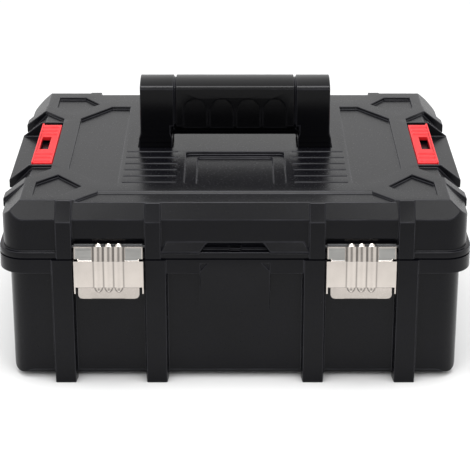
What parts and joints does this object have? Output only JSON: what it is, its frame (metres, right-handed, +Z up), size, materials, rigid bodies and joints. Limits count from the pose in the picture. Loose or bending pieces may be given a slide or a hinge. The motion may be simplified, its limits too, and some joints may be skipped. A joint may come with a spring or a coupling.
{
  "type": "toolbox with tray",
  "caption": "Black moulded toolbox with a hinged lid, steel latches, a fold-down carrying handle, sliding side locks and a lift-out tray.",
  "frame": {"origin": "on the floor under the middle of the box", "axes": "+Z up, +Y towards the hinges, +X to the right seen from the latches"},
  "size_m": [0.42, 0.346, 0.2358],
  "materials": {
    "black_plastic": "fine moulded grain, slightly shiny black",
    "tray_plastic": "fine moulded grain, black",
    "handle_plastic": "smooth black",
    "grip_rubber": "soft black",
    "red_plastic": "smooth red",
    "latch_steel": "nickel plated, stamped",
    "pin_steel": "drawn wire"
  },
  "bodies": {
    "tub": {"base_tub": "black_plastic", "hinge_pin_left": "pin_steel", "hinge_pin_right": "pin_steel"},
    "lid": {"lid_shell": "black_plastic", "handle_pin_left": "pin_steel", "handle_pin_right": "pin_steel", "latch_pin_left": "pin_steel", "latch_pin_right": "pin_steel"},
    "handle": {"handle_bail": "handle_plastic", "handle_grip": "grip_rubber"},
    "latch_left": {"latch_plate_left": "latch_steel"},
    "latch_right": {"latch_plate_right": "latch_steel"},
    "slide_left": {"slide_left": "red_plastic"},
    "slide_right": {"slide_right": "red_plastic"},
    "tray": {"tray": "tray_plastic"}
  },
  "joints": [
    {"name": "lid_hinge", "type": "hinge", "parent": "tub", "child": "lid", "pos_m": [0, 0.1684, 0.1206], "axis": [-1, 0, 0], "range_deg": [0, 105]},
    {"name": "handle_fold", "type": "hinge", "parent": "lid", "child": "handle", "pos_m": [0, 0.003, 0.16], "axis": [-1, 0, 0], "range_deg": [0, 90]},
    {"name": "latch_left_swing", "type": "hinge", "parent": "lid", "child": "latch_left", "pos_m": [-0.11155, -0.1622, 0.1323], "axis": [-1, 0, 0], "range_deg": [0, 110]},
    {"name": "latch_right_swing", "type": "hinge", "parent": "lid", "child": "latch_right", "pos_m": [0.11155, -0.1622, 0.1323], "axis": [-1, 0, 0], "range_deg": [0, 110]},
    {"name": "slide_left_travel", "type": "slide", "parent": "lid", "child": "slide_left", "axis": [0, 1, 0], "range_m": [0, 0.005]},
    {"name": "slide_right_travel", "type": "slide", "parent": "lid", "child": "slide_right", "axis": [0, 1, 0], "range_m": [0, 0.005]},
    {"name": "tray_lift", "type": "slide", "parent": "tub", "child": "tray", "axis": [0, 0, 1], "range_m": [0, 0.025]}
  ]
}
